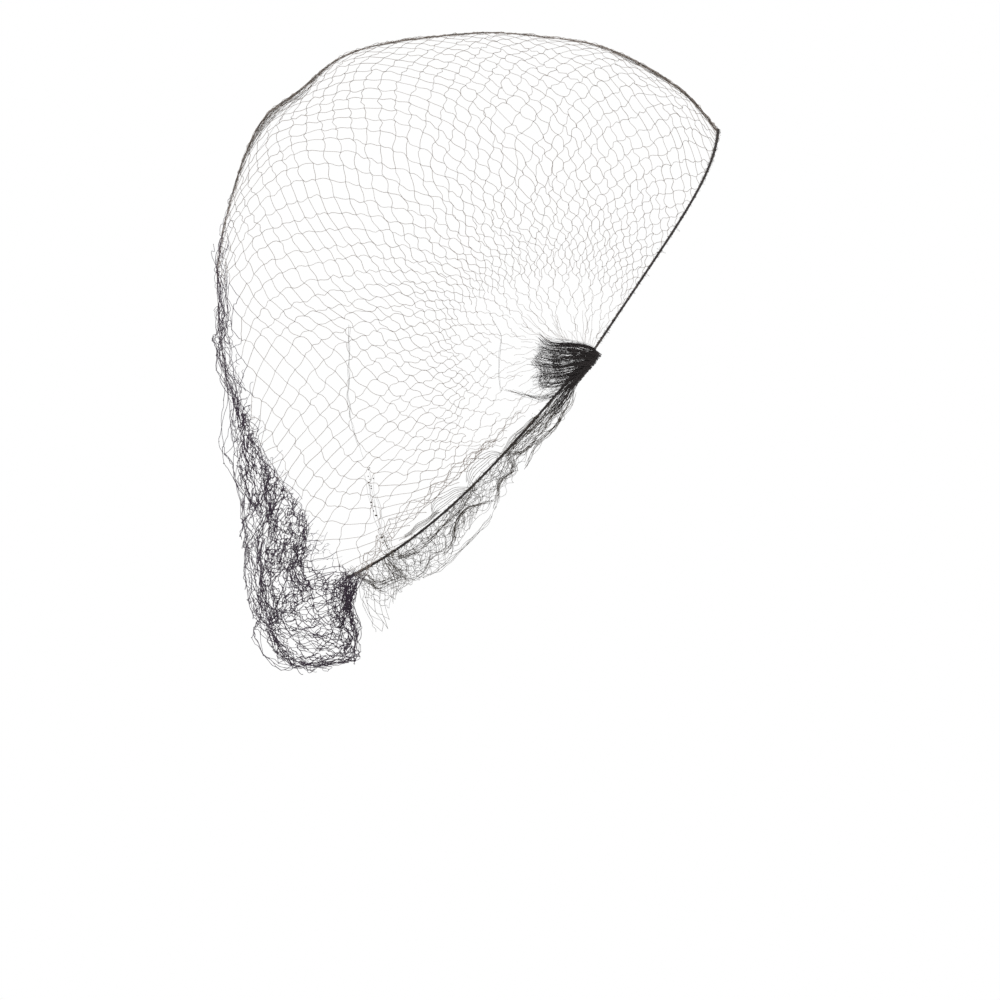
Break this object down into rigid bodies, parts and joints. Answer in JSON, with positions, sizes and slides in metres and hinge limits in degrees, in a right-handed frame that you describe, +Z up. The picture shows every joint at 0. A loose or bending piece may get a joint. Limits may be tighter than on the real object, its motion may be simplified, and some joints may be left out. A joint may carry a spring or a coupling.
{
  "type": "hairnet",
  "caption": "Worn hairnet of knotted netting, gathered into a tuft at each ear on a loop of thin elastic, with slack netting pouched at the nape.",
  "frame": {"origin": "middle of the netting's wall at the top of the crown, on the mirror plane, where the wearer's head holds the net up", "axes": "+X forwards, towards the wearer's face; +Y towards the wearer's left; +Z up"},
  "size_m": [0.1783, 0.1516, 0.2296],
  "materials": {
    "netting": "fine black nylon thread, knotted",
    "elastic": "black yarn-covered round elastic, matt",
    "frill": "fine black nylon thread, knotted",
    "gather": "bunched black nylon thread, tied"
  },
  "bodies": {
    "root": {"netting": "netting", "rim_elastic": "elastic", "edge_frill_right": "frill", "edge_frill_left": "frill", "ear_gather_right": "gather", "ear_gather_left": "gather"}
  },
  "joints": []
}
